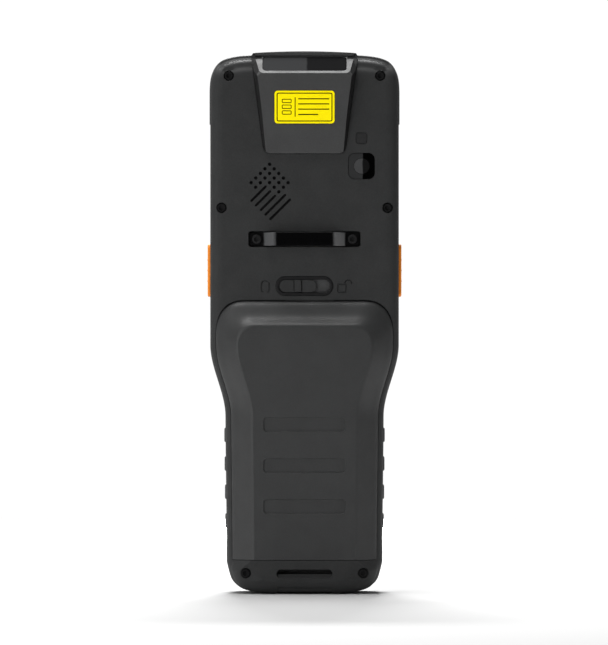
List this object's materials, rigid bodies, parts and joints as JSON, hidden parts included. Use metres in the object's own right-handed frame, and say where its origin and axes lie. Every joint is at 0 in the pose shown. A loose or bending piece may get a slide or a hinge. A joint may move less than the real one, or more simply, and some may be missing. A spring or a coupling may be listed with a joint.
{
  "type": "handheld barcode terminal",
  "caption": "Handheld barcode terminal with a scan head, rear camera, strap bar, side scan buttons, sliding battery lock, battery door, display and keypad.",
  "frame": {"origin": "middle of the foot that the terminal stands on, at the centre of its width and depth", "axes": "+Z along the length towards the scan head, -Y out of the back that the battery door and scan head are on, +Y out of the display, +X to the right seen from the back"},
  "size_m": [0.072, 0.03, 0.2006],
  "materials": {
    "case": "fine moulded texture, satin",
    "case_cover": "fine moulded texture, satin",
    "black_gloss": "polished",
    "window": "clear dark window, polished",
    "rubber": "soft, matte",
    "orange": "soft-touch, satin",
    "key": "satin",
    "label": "printed film, satin",
    "screw": "black oxide",
    "lens": "frosted clear",
    "mesh": "woven cloth",
    "board": "solder mask, satin",
    "metal": "satin sheet",
    "contact": "gold flash",
    "module": "matte black",
    "battery": "shrink film, satin",
    "silicone": "translucent silicone"
  },
  "bodies": {
    "case": {"front_housing": "case", "rear_housing": "case", "housing_gasket": "rubber", "top_bumper": "rubber", "side_grip_left": "rubber", "side_grip_right": "rubber", "scan_head_cover": "case_cover", "scan_window": "window", "scan_engine": "module", "asset_label": "label", "camera_window": "window", "camera_module": "module", "flash_window": "lens", "flash_led": "module", "loudspeaker": "module", "speaker_mesh": "mesh", "strap_bar": "black_gloss", "strap_bar_screws": "screw", "lock_bezel": "black_gloss", "battery_pack": "battery", "battery_contacts": "contact", "side_switches": "metal", "housing_screws": "screw", "main_board": "board", "display_glass": "window", "lcd_module": "metal", "keypad_board": "board", "key_mat": "silicone", "earpiece_mesh": "mesh", "usb_connector": "metal"},
    "door": {"battery_door": "case", "door_seal": "rubber"},
    "lock": {"lock_slider": "case", "latch_plate": "case"},
    "button_left": {"side_button_left": "orange"},
    "button_right": {"side_button_right": "orange"},
    "port_cover": {"io_cover": "rubber"},
    "key_menu_body": {"key_menu": "key"},
    "key_up_body": {"key_up": "key"},
    "key_back_body": {"key_back": "key"},
    "key_left_body": {"key_left": "key"},
    "key_scan_body": {"key_scan": "orange"},
    "key_right_body": {"key_right": "key"},
    "key_escape_body": {"key_escape": "key"},
    "key_down_body": {"key_down": "key"},
    "key_enter_body": {"key_enter": "key"},
    "key_1_body": {"key_1": "key"},
    "key_2_body": {"key_2": "key"},
    "key_3_body": {"key_3": "key"},
    "key_4_body": {"key_4": "key"},
    "key_5_body": {"key_5": "key"},
    "key_6_body": {"key_6": "key"},
    "key_7_body": {"key_7": "key"},
    "key_8_body": {"key_8": "key"},
    "key_9_body": {"key_9": "key"},
    "key_dot_body": {"key_dot": "key"},
    "key_0_body": {"key_0": "key"},
    "key_clear_body": {"key_clear": "key"}
  },
  "joints": [
    {"name": "battery_door_swing", "type": "hinge", "parent": "case", "child": "door", "pos_m": [0, -0.0126, 0.0126], "axis": [1, 0, 0], "range_deg": [0, 60]},
    {"name": "battery_lock_slide", "type": "slide", "parent": "case", "child": "lock", "axis": [1, 0, 0], "range_m": [0, 0.0049]},
    {"name": "io_cover_swing", "type": "hinge", "parent": "case", "child": "port_cover", "pos_m": [0, 0.0014, 0.0013], "axis": [1, 0, 0], "range_deg": [0, 90]},
    {"name": "side_button_left_press", "type": "slide", "parent": "case", "child": "button_left", "axis": [1, 0, 0], "range_m": [0, 0.0006], "stiffness_N_per_m": 400, "springref_m": -0.001},
    {"name": "side_button_right_press", "type": "slide", "parent": "case", "child": "button_right", "axis": [-1, 0, 0], "range_m": [0, 0.0006], "stiffness_N_per_m": 400, "springref_m": -0.001},
    {"name": "key_menu_press", "type": "slide", "parent": "case", "child": "key_menu_body", "axis": [0, -1, 0], "range_m": [0, 0.0008], "stiffness_N_per_m": 250, "springref_m": -0.001},
    {"name": "key_up_press", "type": "slide", "parent": "case", "child": "key_up_body", "axis": [0, -1, 0], "range_m": [0, 0.0008], "stiffness_N_per_m": 250, "springref_m": -0.001},
    {"name": "key_back_press", "type": "slide", "parent": "case", "child": "key_back_body", "axis": [0, -1, 0], "range_m": [0, 0.0008], "stiffness_N_per_m": 250, "springref_m": -0.001},
    {"name": "key_left_press", "type": "slide", "parent": "case", "child": "key_left_body", "axis": [0, -1, 0], "range_m": [0, 0.0008], "stiffness_N_per_m": 250, "springref_m": -0.001},
    {"name": "key_scan_press", "type": "slide", "parent": "case", "child": "key_scan_body", "axis": [0, -1, 0], "range_m": [0, 0.0008], "stiffness_N_per_m": 250, "springref_m": -0.001},
    {"name": "key_right_press", "type": "slide", "parent": "case", "child": "key_right_body", "axis": [0, -1, 0], "range_m": [0, 0.0008], "stiffness_N_per_m": 250, "springref_m": -0.001},
    {"name": "key_escape_press", "type": "slide", "parent": "case", "child": "key_escape_body", "axis": [0, -1, 0], "range_m": [0, 0.0008], "stiffness_N_per_m": 250, "springref_m": -0.001},
    {"name": "key_down_press", "type": "slide", "parent": "case", "child": "key_down_body", "axis": [0, -1, 0], "range_m": [0, 0.0008], "stiffness_N_per_m": 250, "springref_m": -0.001},
    {"name": "key_enter_press", "type": "slide", "parent": "case", "child": "key_enter_body", "axis": [0, -1, 0], "range_m": [0, 0.0008], "stiffness_N_per_m": 250, "springref_m": -0.001},
    {"name": "key_1_press", "type": "slide", "parent": "case", "child": "key_1_body", "axis": [0, -1, 0], "range_m": [0, 0.0008], "stiffness_N_per_m": 250, "springref_m": -0.001},
    {"name": "key_2_press", "type": "slide", "parent": "case", "child": "key_2_body", "axis": [0, -1, 0], "range_m": [0, 0.0008], "stiffness_N_per_m": 250, "springref_m": -0.001},
    {"name": "key_3_press", "type": "slide", "parent": "case", "child": "key_3_body", "axis": [0, -1, 0], "range_m": [0, 0.0008], "stiffness_N_per_m": 250, "springref_m": -0.001},
    {"name": "key_4_press", "type": "slide", "parent": "case", "child": "key_4_body", "axis": [0, -1, 0], "range_m": [0, 0.0008], "stiffness_N_per_m": 250, "springref_m": -0.001},
    {"name": "key_5_press", "type": "slide", "parent": "case", "child": "key_5_body", "axis": [0, -1, 0], "range_m": [0, 0.0008], "stiffness_N_per_m": 250, "springref_m": -0.001},
    {"name": "key_6_press", "type": "slide", "parent": "case", "child": "key_6_body", "axis": [0, -1, 0], "range_m": [0, 0.0008], "stiffness_N_per_m": 250, "springref_m": -0.001},
    {"name": "key_7_press", "type": "slide", "parent": "case", "child": "key_7_body", "axis": [0, -1, 0], "range_m": [0, 0.0008], "stiffness_N_per_m": 250, "springref_m": -0.001},
    {"name": "key_8_press", "type": "slide", "parent": "case", "child": "key_8_body", "axis": [0, -1, 0], "range_m": [0, 0.0008], "stiffness_N_per_m": 250, "springref_m": -0.001},
    {"name": "key_9_press", "type": "slide", "parent": "case", "child": "key_9_body", "axis": [0, -1, 0], "range_m": [0, 0.0008], "stiffness_N_per_m": 250, "springref_m": -0.001},
    {"name": "key_dot_press", "type": "slide", "parent": "case", "child": "key_dot_body", "axis": [0, -1, 0], "range_m": [0, 0.0008], "stiffness_N_per_m": 250, "springref_m": -0.001},
    {"name": "key_0_press", "type": "slide", "parent": "case", "child": "key_0_body", "axis": [0, -1, 0], "range_m": [0, 0.0008], "stiffness_N_per_m": 250, "springref_m": -0.001},
    {"name": "key_clear_press", "type": "slide", "parent": "case", "child": "key_clear_body", "axis": [0, -1, 0], "range_m": [0, 0.0008], "stiffness_N_per_m": 250, "springref_m": -0.001}
  ]
}
